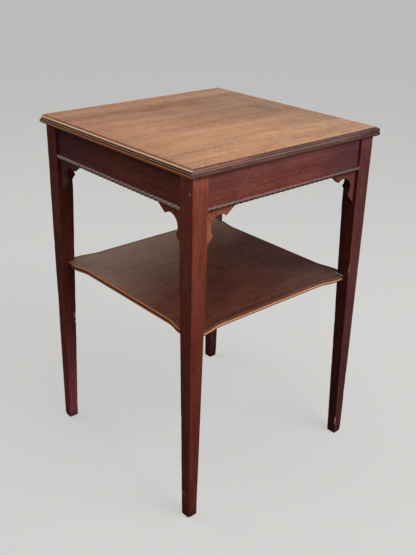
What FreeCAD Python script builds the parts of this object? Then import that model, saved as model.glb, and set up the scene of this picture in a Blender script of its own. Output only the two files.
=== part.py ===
import FreeCAD, Part
import math
import os

# Square mahogany occasional table: moulded top, four tapered legs, plain aprons with a bead
# along the lower edge, fretted brackets in the corners and a reeded shelf with flared corners.
# Millimetres. The origin is on the floor under the middle of the top, +Z up, front towards -Y.

# Overall
table_height = 690.0
top_size = 460.0            # square top, measured over the nosing
top_thickness = 16.5
top_overhang = 9.0          # nosing beyond the outer faces of the legs

# Moulded edge of the top, read from the underside upwards
nosing_radius = 4.5
quirk_height = 1.8
quirk_depth = 2.0
ovolo_height = 4.2
ovolo_width = 2.6
step_ledge = 0.4

# Legs: outer faces upright, inner faces tapered below the brackets
leg_width = 33.0
foot_width = 20.0
foot_chamfer = 1.2
square_below_bracket = 1.0  # square part of the leg left below the bracket's lower tip

# Aprons and their stub tenons
apron_depth = 63.0
apron_thickness = 18.0
apron_setback = 4.5         # apron face behind the outer faces of the legs
tenon_thickness = 8.0
tenon_length = 14.0
tenon_shoulder = 8.0        # apron above and below the tenon

# Beads along the lower edges of the aprons, flush with the legs
bead_height = 7.0

# Fretted corner brackets
bracket_thickness = 9.0
bracket_setback = 6.5       # bracket face behind the outer faces of the legs
bracket_reach = 68.0        # along the apron
bracket_drop = 66.0         # down the leg
scoop_radius = 20.5
scoop_along = 33.0          # centre of the scoop, from the leg
scoop_down = 32.0           # centre of the scoop, from the apron
cusp_offset = 13.5          # points of the scoop past its centre, along and down

# Shelf
shelf_height = 387.0        # upper face above the floor
shelf_thickness = 12.0
shelf_side_inset = 22.0     # straight sides behind the outer faces of the legs
shelf_ear_inset = 14.0      # flared corners behind the outer faces of the legs
shelf_ear_length = 12.0     # straight part of the flared corner beside the leg
shelf_ogee_length = 54.0
reed_round = 2.6
shelf_housing = 4.0         # depth that the shelf is let into each leg

# Glue blocks behind the aprons
block_leg_width = 20.0
block_length = 45.0
block_from_leg = 30.0

# Pocket screws that hold the top
screw_from_leg = 110.0
screw_lean = 15.0           # degrees from upright
screw_radius = 1.75
screw_bite = 10.0           # in the top
screw_seat = 24.0           # head below the top's underside, along the screw
screw_head_radius = 3.75
screw_head_height = 2.4
screw_slot_width = 1.0
screw_slot_depth = 1.2
pocket_radius = 4.75
pocket_length = 40.0

# Panel pins
bracket_pin_radius = 0.6
bracket_pin_past_cusp = 7.5
bead_pin_radius = 0.5
bead_pin_from_leg = 40.0
pin_bite = 10.0
pin_punch = 0.8             # pins driven below the surface
hole_clearance = 0.1        # round every screw and pin

underside = table_height - top_thickness
leg_face = top_size / 2 - top_overhang
leg_inner = leg_face - leg_width
apron_face = leg_face - apron_setback
apron_back = apron_face - apron_thickness
apron_middle = apron_face - apron_thickness / 2
apron_bottom = underside - apron_depth
bracket_face = leg_face - bracket_setback
bracket_middle = bracket_face - bracket_thickness / 2
taper_top = apron_bottom - bracket_drop - square_below_bracket

# The four sides in turn, with the name of the end on the left and on the right of each
side_ends = {
    "front": ("left", "right"),
    "right": ("front", "back"),
    "back": ("right", "left"),
    "left": ("back", "front"),
}
leg_names = ("leg_front_left", "leg_front_right", "leg_back_right", "leg_back_left")
quarter_turn = 90.0


def vec(x, y, z):
    return FreeCAD.Vector(x, y, z)


def box(low, high):
    size = vec(*high).sub(vec(*low))
    return Part.makeBox(size.x, size.y, size.z, vec(*low))


def rod(radius, start, end):
    axis = end.sub(start)
    return Part.makeCylinder(radius, axis.Length, start, axis)


def line(start, end):
    return Part.LineSegment(start, end).toShape()


def arc(start, middle, end):
    return Part.Arc(start, middle, end).toShape()


def prism(edges, sweep):
    return Part.Face(Part.Wire(edges)).extrude(sweep)


def polygon_prism(points, sweep):
    return Part.Face(Part.makePolygon(points + points[:1])).extrude(sweep)


def turned(shape, quarters):
    copy = shape.copy()
    copy.rotate(vec(0, 0, 0), vec(0, 0, 1), quarter_turn * quarters)
    return copy


def mirrored(shape):
    return shape.mirror(vec(0, 0, 0), vec(1, 0, 0))


def leg_width_at(height):
    return foot_width + (leg_width - foot_width) * height / taper_top


def edge_section():
    """Upright section of the top from one nosing to the other, as edges in the XZ plane."""
    nose = top_size / 2
    core = nose - nosing_radius
    lip = core + quirk_depth
    shoulder = lip - ovolo_width
    flat = shoulder - step_ledge
    nosing_top = underside + 2 * nosing_radius
    lip_height = nosing_top + quirk_height
    ledge_height = lip_height + ovolo_height
    bulge = math.sqrt(0.5)
    right = [
        arc(vec(core, 0, underside), vec(nose, 0, underside + nosing_radius), vec(core, 0, nosing_top)),
        line(vec(core, 0, nosing_top), vec(core, 0, lip_height)),
        line(vec(core, 0, lip_height), vec(lip, 0, lip_height)),
        arc(
            vec(lip, 0, lip_height),
            vec(shoulder + ovolo_width * bulge, 0, lip_height + ovolo_height * bulge),
            vec(shoulder, 0, ledge_height),
        ),
        line(vec(shoulder, 0, ledge_height), vec(flat, 0, ledge_height)),
        line(vec(flat, 0, ledge_height), vec(flat, 0, table_height)),
    ]
    left = [mirrored(edge) for edge in reversed(right)]
    upper = line(vec(flat, 0, table_height), vec(-flat, 0, table_height))
    lower = line(vec(-core, 0, underside), vec(core, 0, underside))
    return right + [upper] + left + [lower]


def table_top():
    board = prism(edge_section(), vec(0, top_size, 0))
    board.translate(vec(0, -top_size / 2, 0))
    return board.common(turned(board, 1))


def shelf_outline(side, ear, level):
    """Edges of the whole shelf outline at one height: four sides with an ogee at each end."""
    leg_side = leg_face - leg_width_at(shelf_height)
    ogee_start = leg_side - shelf_ear_length
    ogee_end = ogee_start - shelf_ogee_length
    rise = ear - side
    radius = (shelf_ogee_length ** 2 + rise ** 2) / (4 * rise)
    half_angle = math.atan(rise / shelf_ogee_length)
    step_along = radius * math.sin(half_angle)
    step_out = radius * (1 - math.cos(half_angle))
    centre = vec(-(ogee_start + ogee_end) / 2, -(ear + side) / 2, level)
    corner = vec(-ear, -ear, level)
    ear_end = vec(-ogee_start, -ear, level)
    side_start = vec(-ogee_end, -side, level)
    ogee = [
        line(corner, ear_end),
        arc(ear_end, ear_end + vec(step_along, step_out, 0), centre),
        arc(centre, side_start - vec(step_along, step_out, 0), side_start),
    ]
    middle = line(side_start, vec(ogee_end, -side, level))
    one_side = ogee + [middle] + [mirrored(edge) for edge in reversed(ogee)]
    return [turned(edge, quarters) for quarters in range(4) for edge in one_side]


def reed(level, height):
    """One layer of the shelf, with its edge rounded into a reed."""
    edges = shelf_outline(leg_face - shelf_side_inset, leg_face - shelf_ear_inset, level)
    layer = prism(edges, vec(0, 0, height))
    rims = []
    for edge in layer.Edges:
        low, high = edge.BoundBox.ZMin, edge.BoundBox.ZMax
        if high - low < height / 2:
            rims.append(edge)
    return layer.makeFillet(reed_round, rims)


def shelf():
    layer_height = shelf_thickness / 2
    bottom = shelf_height - shelf_thickness
    board = reed(bottom, layer_height).fuse(reed(bottom + layer_height, layer_height))
    core = leg_face - leg_width_at(shelf_height) + shelf_housing
    corner = box((-leg_face, -leg_face, bottom), (-core, -core, shelf_height))
    for quarters in range(4):
        board = board.cut(turned(corner, quarters))
    return board.removeSplitter()


def plain_leg():
    """Front left leg, before its joints are cut."""
    side_view = [
        vec(-leg_face, -leg_face, 0),
        vec(-leg_face + foot_width, -leg_face, 0),
        vec(-leg_inner, -leg_face, taper_top),
        vec(-leg_inner, -leg_face, underside),
        vec(-leg_face, -leg_face, underside),
    ]
    slab = polygon_prism(side_view, vec(0, leg_width, 0))
    mirror_in_diagonal = slab.mirror(vec(0, 0, 0), vec(1, -1, 0))
    leg = slab.common(mirror_in_diagonal)
    foot_edges = [edge for edge in leg.Edges if edge.BoundBox.ZMax < foot_chamfer]
    return leg.makeChamfer(foot_chamfer, foot_edges)


def front_tenon():
    """Tenon at the left end of the front apron."""
    return box(
        (-leg_inner - tenon_length, -apron_middle - tenon_thickness / 2, apron_bottom + tenon_shoulder),
        (-leg_inner, -apron_middle + tenon_thickness / 2, underside - tenon_shoulder),
    )


def plain_apron():
    board = box((-leg_inner, -apron_face, apron_bottom), (leg_inner, -apron_back, underside))
    tenon = front_tenon()
    return board.fuse([tenon, mirrored(tenon)]).removeSplitter()


def plain_bead():
    base = -apron_face
    crest = -leg_face
    top = apron_bottom + bead_height
    middle = apron_bottom + bead_height / 2
    section = [
        arc(vec(-leg_inner, base, apron_bottom), vec(-leg_inner, crest, middle), vec(-leg_inner, base, top)),
        line(vec(-leg_inner, base, top), vec(-leg_inner, base, apron_bottom)),
    ]
    return prism(section, vec(2 * leg_inner, 0, 0))


def plain_bracket():
    """Bracket at the left end of the front apron, with a scoop between its two points."""
    other_offset = math.sqrt(scoop_radius ** 2 - cusp_offset ** 2)
    deepest = scoop_radius * math.sqrt(0.5)

    def at(along, down):
        return vec(-leg_inner + along, -bracket_face, apron_bottom - down)

    angle = at(0, 0)
    tip_along = at(bracket_reach, 0)
    cusp_along = at(scoop_along + cusp_offset, scoop_down - other_offset)
    cusp_down = at(scoop_along - other_offset, scoop_down + cusp_offset)
    tip_down = at(0, bracket_drop)
    outline = [
        line(angle, tip_along),
        line(tip_along, cusp_along),
        arc(cusp_along, at(scoop_along - deepest, scoop_down - deepest), cusp_down),
        line(cusp_down, tip_down),
        line(tip_down, angle),
    ]
    return prism(outline, vec(0, bracket_thickness, 0))


def bracket_pin(radius, punch):
    """The two pins of the bracket at the left end of the front apron."""
    other_offset = math.sqrt(scoop_radius ** 2 - cusp_offset ** 2)
    cusp_along = scoop_along + cusp_offset
    cusp_down = scoop_down + cusp_offset
    along = cusp_along + bracket_pin_past_cusp
    down = cusp_down + bracket_pin_past_cusp
    along_edge = (scoop_down - other_offset) * (bracket_reach - along) / (bracket_reach - cusp_along)
    down_edge = (scoop_along - other_offset) * (bracket_drop - down) / (bracket_drop - cusp_down)
    upright = rod(
        radius,
        vec(-leg_inner + along, -bracket_middle, apron_bottom - along_edge + punch),
        vec(-leg_inner + along, -bracket_middle, apron_bottom + pin_bite),
    )
    level = rod(
        radius,
        vec(-leg_inner + down_edge - punch, -bracket_middle, apron_bottom - down),
        vec(-leg_inner - pin_bite, -bracket_middle, apron_bottom - down),
    )
    return [upright, level]


def bead_pin(radius, punch):
    """The three pins of the front bead."""
    middle = apron_bottom + bead_height / 2
    pins = []
    for place in (-leg_inner + bead_pin_from_leg, 0, leg_inner - bead_pin_from_leg):
        head = vec(place, -leg_face + punch, middle)
        point = vec(place, -apron_face + pin_bite, middle)
        pins.append(rod(radius, head, point))
    return pins


def screw_axis():
    """Point where the front apron's left screw enters the top, and its direction upwards."""
    lean = math.radians(screw_lean)
    entry = vec(-leg_inner + screw_from_leg, -apron_middle, underside)
    return entry, vec(0, -math.sin(lean), math.cos(lean))


def screw():
    entry, up = screw_axis()
    seat = entry - up * screw_seat
    crown = seat - up * screw_head_height
    shank = rod(screw_radius, seat, entry + up * screw_bite)
    head = rod(screw_head_radius, crown, seat)
    slot = box(
        (-screw_head_radius, -screw_slot_width / 2, 0),
        (screw_head_radius, screw_slot_width / 2, screw_slot_depth),
    )
    slot.rotate(vec(0, 0, 0), vec(1, 0, 0), screw_lean)
    slot.translate(crown)
    return head.cut(slot).fuse(shank)


def screw_hole():
    entry, up = screw_axis()
    seat = entry - up * screw_seat
    shank_hole = rod(screw_radius + hole_clearance, seat, entry + up * screw_bite)
    pocket = rod(pocket_radius, seat - up * pocket_length, seat)
    return [shank_hole, pocket]


def glue_block():
    """Triangular block behind the left end of the front apron."""
    start = -leg_inner + block_from_leg
    corners = [
        vec(start, -apron_back, underside),
        vec(start, -apron_back + block_leg_width, underside),
        vec(start, -apron_back, underside - block_leg_width),
    ]
    return polygon_prism(corners, vec(block_length, 0, 0))


def both_ends(shapes):
    return shapes + [mirrored(shape) for shape in shapes]


def all_sides(shapes):
    return [turned(shape, quarters) for quarters in range(4) for shape in shapes]


def save(shape, name):
    shape.exportStep("parts/" + name + ".step")


os.makedirs("parts", exist_ok=True)

front_screws = both_ends([screw()])
front_screw_holes = both_ends(screw_hole())
front_bracket_pins = both_ends(bracket_pin(bracket_pin_radius, pin_punch))
front_bracket_pin_holes = both_ends(bracket_pin(bracket_pin_radius + hole_clearance, -pin_punch))
front_bead_pins = bead_pin(bead_pin_radius, pin_punch)
front_bead_pin_holes = bead_pin(bead_pin_radius + hole_clearance, -pin_punch)
tenons = all_sides(both_ends([front_tenon()]))
bracket_pin_holes = all_sides(front_bracket_pin_holes)

save(table_top().cut(all_sides(front_screw_holes)), "table_top")

shelf_board = shelf()
save(shelf_board, "shelf")

first_leg = plain_leg()
for quarters, name in enumerate(leg_names):
    leg = turned(first_leg, quarters).cut(tenons + bracket_pin_holes + [shelf_board])
    save(leg, name)

front_apron = plain_apron().cut(front_screw_holes + front_bracket_pin_holes + front_bead_pin_holes)
front_bead = plain_bead().cut(front_bead_pin_holes)
left_bracket = plain_bracket().cut(front_bracket_pin_holes)
left_block = glue_block()
for quarters, (side, ends) in enumerate(side_ends.items()):
    save(turned(front_apron, quarters), "apron_" + side)
    save(turned(front_bead, quarters), "bead_" + side)
    for piece, kind in ((left_bracket, "bracket"), (left_block, "glue_block")):
        save(turned(piece, quarters), kind + "_" + side + "_" + ends[0])
        save(turned(mirrored(piece), quarters), kind + "_" + side + "_" + ends[1])

save(Part.makeCompound(all_sides(front_screws)), "top_screws")
save(Part.makeCompound(all_sides(front_bracket_pins)), "bracket_pins")
save(Part.makeCompound(all_sides(front_bead_pins)), "bead_pins")
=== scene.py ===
import math

import bmesh
import bpy
from mathutils import Matrix, Vector, noise
from mathutils.kdtree import KDTree


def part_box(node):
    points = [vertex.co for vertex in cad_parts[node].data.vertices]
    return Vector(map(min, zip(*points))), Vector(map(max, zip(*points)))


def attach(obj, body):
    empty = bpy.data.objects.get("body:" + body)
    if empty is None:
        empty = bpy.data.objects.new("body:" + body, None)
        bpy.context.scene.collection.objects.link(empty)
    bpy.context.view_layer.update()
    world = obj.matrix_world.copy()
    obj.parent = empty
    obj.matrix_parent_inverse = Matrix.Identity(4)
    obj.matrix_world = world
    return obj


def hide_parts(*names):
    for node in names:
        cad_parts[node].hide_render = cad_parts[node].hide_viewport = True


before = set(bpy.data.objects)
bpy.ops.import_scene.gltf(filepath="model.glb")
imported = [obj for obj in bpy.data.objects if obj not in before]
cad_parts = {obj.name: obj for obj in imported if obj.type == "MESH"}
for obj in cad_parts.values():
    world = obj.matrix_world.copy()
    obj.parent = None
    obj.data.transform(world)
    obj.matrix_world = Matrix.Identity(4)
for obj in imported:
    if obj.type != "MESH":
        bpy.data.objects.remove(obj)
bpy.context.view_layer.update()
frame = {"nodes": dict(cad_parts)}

bl_info = {
    "name": "Mahogany Occasional Table",
    "version": (1, 0, 0),
    "blender": (4, 5, 0),
    "location": "3D View > Sidebar > Table",
    "description": "Dresses a square occasional table with a shelf in worn, faded mahogany",
    "category": "Object",
}

BODY = "root"
QUARTER_TURN = math.pi / 2
BULGE = math.sqrt(0.5)
SMOOTH_ANGLE = math.radians(32)
SAME_PLANE = math.radians(0.2)
SQUARE_TO_AXIS = 0.99999
WELD = 1e-6
ON_FACE = 1e-5
RIGHT = Vector((1, 0, 0))
BACK = Vector((0, 1, 0))
UP = Vector((0, 0, 1))

# Largest difference between a finished piece's box and its node's
FIT = 0.0015

# Pores of the wood and pits of the steel, as the light catches them
PORE_DEPTH = 0.00025
PIT_DEPTH = 0.0001

# The sides of the table, each with its two ends
SIDES = {
    "front": ("left", "right"),
    "right": ("front", "back"),
    "back": ("right", "left"),
    "left": ("back", "front"),
}
SIDE_ENDS = [(side, end) for side, ends in SIDES.items() for end in ends]
LEG_CORNERS = {
    "leg_front_left": (-1, -1),
    "leg_front_right": (1, -1),
    "leg_back_right": (1, 1),
    "leg_back_left": (-1, 1),
}

# Numbers that set the grain of one board apart from another's, and how far apart they set it
GRAIN_NUMBER = {"top": 1, "shelf": 5, "leg": 10, "apron": 20, "bracket": 30, "bead": 50, "block": 60}
GRAIN_APART = Vector((0.83, 0.47, 0.29))

# How far painted shade darkens the inner face that looks to the front or back, and how far painted
# light lightens the one that looks to the side
LEG_INNER = {"leg_back_right": (1.0, 0.0), "leg_front_left": (0.0, 1.0)}

# Knocks on the legs: share of the leg's width in from the outer side face and from the outer
# front or back face, height, reach along X, Y and Z, and depth
LEG_CHIPS = {
    "leg_front_left": (
        (1.0, 0.93, 0.258, (0.006, 0.006, 0.011), 0.0016),
        (1.0, 0.95, 0.243, (0.005, 0.005, 0.005), 0.0012),
    ),
    "leg_back_right": ((0.0, 1.0, 0.034, (0.003, 0.003, 0.015), 0.0007),),
    "leg_front_right": ((0.27, 0.0, 0.6467, (0.0055, 0.002, 0.0028), 0.0005),),
}

# Knocks on the top's edge: place, reach along X, Y and Z, depth, and the way that it was pushed in
TOP_CHIPS = (
    ((0.125, -0.230, 0.6775), (0.0060, 0.0030, 0.0025), 0.0006, (0, 1, 0)),
    ((0.230, -0.146, 0.6810), (0.0018, 0.0022, 0.0020), 0.0006, (-1, 0, 0)),
    ((0.221, -0.202, 0.6900), (0.0030, 0.0045, 0.0020), 0.0002, (-1, 0, -1)),
)

# How the members of the top's edge are coloured, by wear and dirt and by painted light: worn wood,
# bare wood, grey film, grime, bleach and pale wood, first on the front and back, where the end grain
# shows, then on the left and right. The pale lip, the grey line on the nosing's top and, at the sides,
# the grey line on the quirk are painted highlights; the black quirk, lip foot, step and nosing front
# are dirt with painted shadow; and the orange lower nosing is bare wood with painted light.
EDGE_WEAR_AND_LIGHT = {
    "underside": ((0.0, 0.0, 0.0, 0.3, 0.0, 0.0), (0.0, 0.0, 0.0, 0.3, 0.0, 0.0)),
    "lower nosing": ((0.3, 0.66, 0.0, 0.0, 0.0, 0.0), (0.3, 0.05, 0.0, 0.14, 0.0, 0.0)),
    "nosing front": ((0.1, 0.0, 0.0, 1.0, 0.0, 0.0), (0.3, 0.0, 0.0, 0.34, 0.0, 0.0)),
    "nosing top": ((0.1, 0.0, 1.3, 0.0, 0.0, 0.80), (0.1, 0.0, 0.0, 0.36, 0.0, 0.0)),
    "quirk": ((0.0, 0.0, 0.0, 1.0, 0.0, 0.0), (0.0, 0.0, 1.20, 0.0, 0.0, 0.0)),
    "lip foot": ((0.2, 0.0, 0.0, 0.9, 0.5, 0.0), (0.3, 0.0, 0.0, 0.0, 0.05, 0.0)),
    "lip": ((0.6, 0.0, 0.0, 0.0, 1.0, 1.3), (0.3, 0.0, 0.0, 0.0, 0.05, 0.0)),
    "ovolo": ((0.6, 0.45, 0.0, 0.10, 0.9, 0.10), (0.3, 0.0, 0.0, 0.0, 0.08, 0.0)),
    "step": ((0.0, 0.0, 0.0, 0.9, 0.3, 0.0), (0.0, 0.0, 0.0, 0.3, 0.1, 0.0)),
    "arris": ((0.5, 0.0, 0.0, 0.15, 0.9, 0.0), (0.4, 0.0, 0.0, 0.15, 0.35, 0.0)),
    "rim": ((0.0, 0.0, 0.0, 0.05, 1.0, 0.0), (0.2, 0.0, 0.0, 0.10, 0.60, 0.0)),
    "flat": ((0.0, 0.0, 0.0, 0.0, 1.0, 0.0), (0.0, 0.0, 0.0, 0.0, 1.0, 0.0)),
}
WEAR_AND_LIGHT = ("worn", "bare", "film", "grime", "bleach", "pale")
UNMARKED = (0.0,) * len(WEAR_AND_LIGHT)

# Attributes that lay their own colour over the wood, in this order
COATS = ("bare", "film", "pale", "grime")

# Old filler at the top's back right corner: how far it stands out of each member
CORNER_FILL = {"nosing top": 0.0015, "quirk": 0.0033, "lip foot": 0.0028, "lip": 0.0022, "ovolo": 0.0010}

# Bare orange wood, partly painted light, on the shelf's reeds: on the front and back, then on the left and
# right
REED_BARE_AND_LIT = {"lower": (0.75, 0.7), "upper": (1.35, 0.04)}

# How far painted shade darkens a bracket's faces, and the grime with painted shade and the grey film with a
# painted reflection on its sawn edges
BRACKET_WEAR_AND_LIGHT = {
    "bracket_right_front": (0.0, 0.5, 0.0),
    "bracket_front_right": (1.5, 0.85, 0.0),
    "bracket_front_left": (1.0, 0.40, 0.40),
    "others": (1.0, 0.85, 0.0),
}

# Grey film with painted highlights on the crests of the beads, and grime with painted shade, most along their
# lower side
BEAD_WEAR_AND_LIGHT = {"front": (0.95, 0.0), "right": (0.28, 0.28), "back": (0.15, 0.1), "left": (0.15, 0.1)}

# Where the first strand of each bead's rope carving starts, as a share of a strand
ROPE_START = {"front": 0.67, "right": 0.31, "back": 0.5, "left": 0.5}

# Stains and rubs on the top: middle, reach along X, Y and Z, strength and colour
TOP_MARKS = (
    ((-0.010, 0.163, 0.690), (0.042, 0.022, 0.02), 0.95, "smear"),
    ((-0.036, 0.154, 0.690), (0.026, 0.013, 0.02), 0.60, "smear"),
    ((-0.038, 0.221, 0.690), (0.010, 0.005, 0.02), 0.80, "grime"),
    ((0.112, 0.139, 0.690), (0.008, 0.003, 0.02), 0.35, "smear"),
    ((0.146, 0.154, 0.690), (0.012, 0.016, 0.02), 0.28, "worn"),
)

# A slanting scratch on the near leg, as a row of short rubs
LEG_MARKS = (
    ((0.2030, -0.221, 0.0522), (0.0038, 0.003, 0.0016), 0.85, "pale"),
    ((0.2076, -0.221, 0.0508), (0.0038, 0.003, 0.0015), 0.65, "pale"),
    ((0.2120, -0.221, 0.0494), (0.0036, 0.003, 0.0012), 0.35, "pale"),
)

# Lamps: turn and height in degrees, distance and size
LAMPS = {
    "key": (104.0, 38.0, 2.4, 1.7),
    "overhead": (20.0, 80.0, 2.2, 1.6),
    "left": (292.0, 42.0, 2.5, 1.4),
    "back": (165.0, 42.0, 2.6, 1.4),
}

top_low, top_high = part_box("table_top")
leg_low, leg_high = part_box("leg_front_right")
shelf_low, shelf_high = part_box("shelf")
apron_low, apron_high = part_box("apron_right")
bead_low, bead_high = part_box("bead_right")
bracket_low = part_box("bracket_right_front")[0]
leg_width = leg_high.x - leg_low.x
apron_length = -2 * (leg_low.y + leg_width)


# Settings

def real_number(name, description, default, **options):
    return bpy.props.FloatProperty(name=name, description=description, default=default, **options)


def length(name, description, default):
    return real_number(name, description, default, min=0.0, unit="LENGTH", precision=5)


def share(name, description, default):
    return real_number(name, description, default, min=0.0, max=1.0, subtype="FACTOR")


def angle(name, description, degrees):
    return real_number(name, description, math.radians(degrees), subtype="ANGLE")


def watts(name, description, default):
    return real_number(name, description, default, min=0.0, unit="POWER")


def whole_number(name, description, default, least):
    return bpy.props.IntProperty(name=name, description=description, default=default, min=least)


def colour(name, description, default):
    return bpy.props.FloatVectorProperty(
        name=name, description=description, default=default, size=3, min=0.0, max=1.0, subtype="COLOR"
    )


class TopSizes(bpy.types.PropertyGroup):
    nosing_radius: length("Nosing", "Radius of the half-round lower member of the edge", 0.0045)
    quirk_height: length("Quirk height", "Height of the groove above the nosing", 0.0018)
    quirk_depth: length("Quirk depth", "Depth of the groove behind the ovolo's lip", 0.0020)
    ovolo_height: length("Ovolo height", "Height of the quarter-round above the groove", 0.0042)
    ovolo_width: length("Ovolo width", "Width of the quarter-round", 0.0026)
    step_ledge: length("Ledge", "Flat ledge between the quarter-round and the step", 0.0004)
    step_round: length("Step wear", "Rounding of the step's arris", 0.0005)
    corner_round: length("Corner wear", "Rounding of the mitred corners", 0.0008)
    dent_depth: length("Dents", "Depth of the knocks along the nosing", 0.0007)


class LegSizes(bpy.types.PropertyGroup):
    foot_width: length("Foot", "Width of the leg at the floor", 0.0200)
    square_below_bracket: length("Square part", "Untapered leg left below the bracket", 0.0010)
    arris_round: length("Arris", "Rounding of the leg's corners", 0.0011)
    arris_wear: length("Arris wear", "Depth of the rubbing along the corners", 0.0005)
    foot_round: length("Foot wear", "Rounding of the foot's lower edge", 0.0008)
    foot_corner: length("Foot corner", "How far the foot's outer corner is worn in", 0.0012)
    rings: whole_number("Rings", "Rings of points up the leg", 220, 20)


class ShelfSizes(bpy.types.PropertyGroup):
    side_inset: length("Side inset", "Straight sides behind the outer faces of the legs", 0.0220)
    ear_length: length("Ear", "Straight part of the flared corner beside the leg", 0.0120)
    ogee_length: length("Ogee", "Length of the curve between ear and side", 0.0540)
    reed_round: length("Reed", "Rounding of each of the two reeds", 0.0026)
    housing: length("Housing", "Depth that the corner is let into the leg", 0.0040)


class FrameSizes(bpy.types.PropertyGroup):
    board_arris: length("Board arris", "Rounding of the aprons' long edges", 0.0008)
    bracket_arris: length("Bracket arris", "Rounding of the brackets' sawn outline", 0.0007)
    block_arris: length("Block arris", "Rounding of the glue blocks", 0.0010)
    bead_waver: length("Bead waver", "Unevenness of the hand-worked bead", 0.00012)
    rope_strands: whole_number("Strands", "Strands of the rope carved in each bead", 30, 1)
    rope_slant: real_number("Slant", "Strands that a cut passes from the foot of the bead to its top", 0.5)
    rope_cut: length("Rope cut", "Depth of the cuts at the bead's upper and lower edges", 0.0013)
    rope_proud: length("Rope height", "How far the strands stand above and below the plain bead", 0.0006)
    rope_crest_cut: length("Crest cut", "Depth of the cuts at the bead's crest", 0.0007)


class ScrewSizes(bpy.types.PropertyGroup):
    from_leg: length("From the leg", "Screw's distance from the leg along the apron", 0.1100)
    lean: angle("Lean", "Lean of the screw from upright", 15.0)
    seat: length("Seat", "Head's distance below the top along the screw", 0.0240)
    bite: length("Bite", "Length of the screw in the top", 0.0100)
    shank_radius: length("Shank", "Radius of the shank", 0.00175)
    head_radius: length("Head", "Radius of the head", 0.00375)
    head_height: length("Head height", "Height of the head", 0.0024)
    slot_width: length("Slot width", "Width of the driver slot", 0.0010)
    slot_depth: length("Slot depth", "Depth of the driver slot", 0.0012)


class Finishes(bpy.types.PropertyGroup):
    top_dark: colour("Top, dark grain", "Dark streaks of the faded top", (0.322, 0.145, 0.074))
    top_mid: colour("Top, body", "Body colour of the faded top", (0.510, 0.250, 0.136))
    top_light: colour("Top, light grain", "Light streaks of the faded top", (0.630, 0.333, 0.192))
    edge_dark: colour("Edge, dark grain", "Dark streaks of the moulded edge", (0.055, 0.022, 0.020))
    edge_mid: colour("Edge, body", "Body colour of the moulded edge", (0.115, 0.048, 0.045))
    edge_light: colour("Edge, light grain", "Light streaks of the moulded edge", (0.187, 0.086, 0.076))
    leg_dark: colour("Leg, dark grain", "Dark streaks of the legs", (0.180, 0.040, 0.026))
    leg_mid: colour("Leg, body", "Body colour of the legs", (0.280, 0.068, 0.042))
    leg_light: colour("Leg, light grain", "Light streaks of the legs", (0.370, 0.105, 0.063))
    apron_dark: colour("Apron, dark grain", "Dark streaks of the aprons", (0.145, 0.037, 0.029))
    apron_mid: colour("Apron, body", "Body colour of the aprons", (0.230, 0.060, 0.046))
    apron_light: colour("Apron, light grain", "Light streaks of the aprons", (0.315, 0.092, 0.060))
    bracket_dark: colour("Bracket, dark grain", "Dark streaks of the brackets", (0.280, 0.080, 0.047))
    bracket_mid: colour("Bracket, body", "Body colour of the brackets", (0.430, 0.130, 0.078))
    bracket_light: colour("Bracket, light grain", "Light streaks of the brackets", (0.540, 0.185, 0.108))
    shelf_dark: colour("Shelf, dark grain", "Dark streaks of the shelf", (0.100, 0.026, 0.016))
    shelf_mid: colour("Shelf, body", "Body colour of the shelf", (0.140, 0.036, 0.021))
    shelf_light: colour("Shelf, light grain", "Light streaks of the shelf", (0.175, 0.056, 0.035))
    # Also painted light on the crests of the shelf's side reeds and on the top's lip
    worn: colour("Worn wood", "Wood bared by knocks and rubbing", (0.700, 0.420, 0.280))
    # Also painted light on the top's lower nosing and on the shelf's reeds
    bare: colour("Bare edge", "Orange wood of edges that have lost their stain", (0.980, 0.330, 0.115))
    # Also painted highlights and reflections on the beads, the top's mouldings, the shelf's reeds and a
    # bracket's sawn edge
    film: colour("Dull film", "Grey film on the beads and mouldings", (0.390, 0.330, 0.310))
    # A painted highlight on the top's lip and nosing and on the shelf's reeds; a real scratch on the near leg
    pale: colour("Pale lip", "Wood of the top's lip, rubbed pale", (1.000, 0.620, 0.385))
    # A painted reflection on the shelf
    reflection_veil: colour("Dust", "Dusty veil on the shelf", (0.450, 0.285, 0.212))
    # A painted highlight
    seam: colour("Seam", "Pale line where the shelf meets the legs", (0.460, 0.490, 0.560))
    # Also painted shade in the top's quirk and under its mouldings, under the shelf's reeds, along the beads'
    # lower side and on sawn edges
    grime: colour("Grime", "Old polish and dirt in the corners", (0.022, 0.010, 0.009))
    smear: colour("Smear", "Grey-green stain on the top", (0.110, 0.085, 0.058))
    pine: colour("Pine", "Body colour of the glue blocks", (0.440, 0.262, 0.115))
    pine_rings: colour("Pine rings", "Darker rings of the glue blocks", (0.300, 0.150, 0.055))
    pine_soil: colour("Pine soil", "Dirt on the glue blocks", (0.160, 0.090, 0.050))
    steel: colour("Steel", "Old screws and pins", (0.190, 0.175, 0.160))
    rust: colour("Rust", "Brown rust on the screws and pins", (0.105, 0.042, 0.020))


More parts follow.
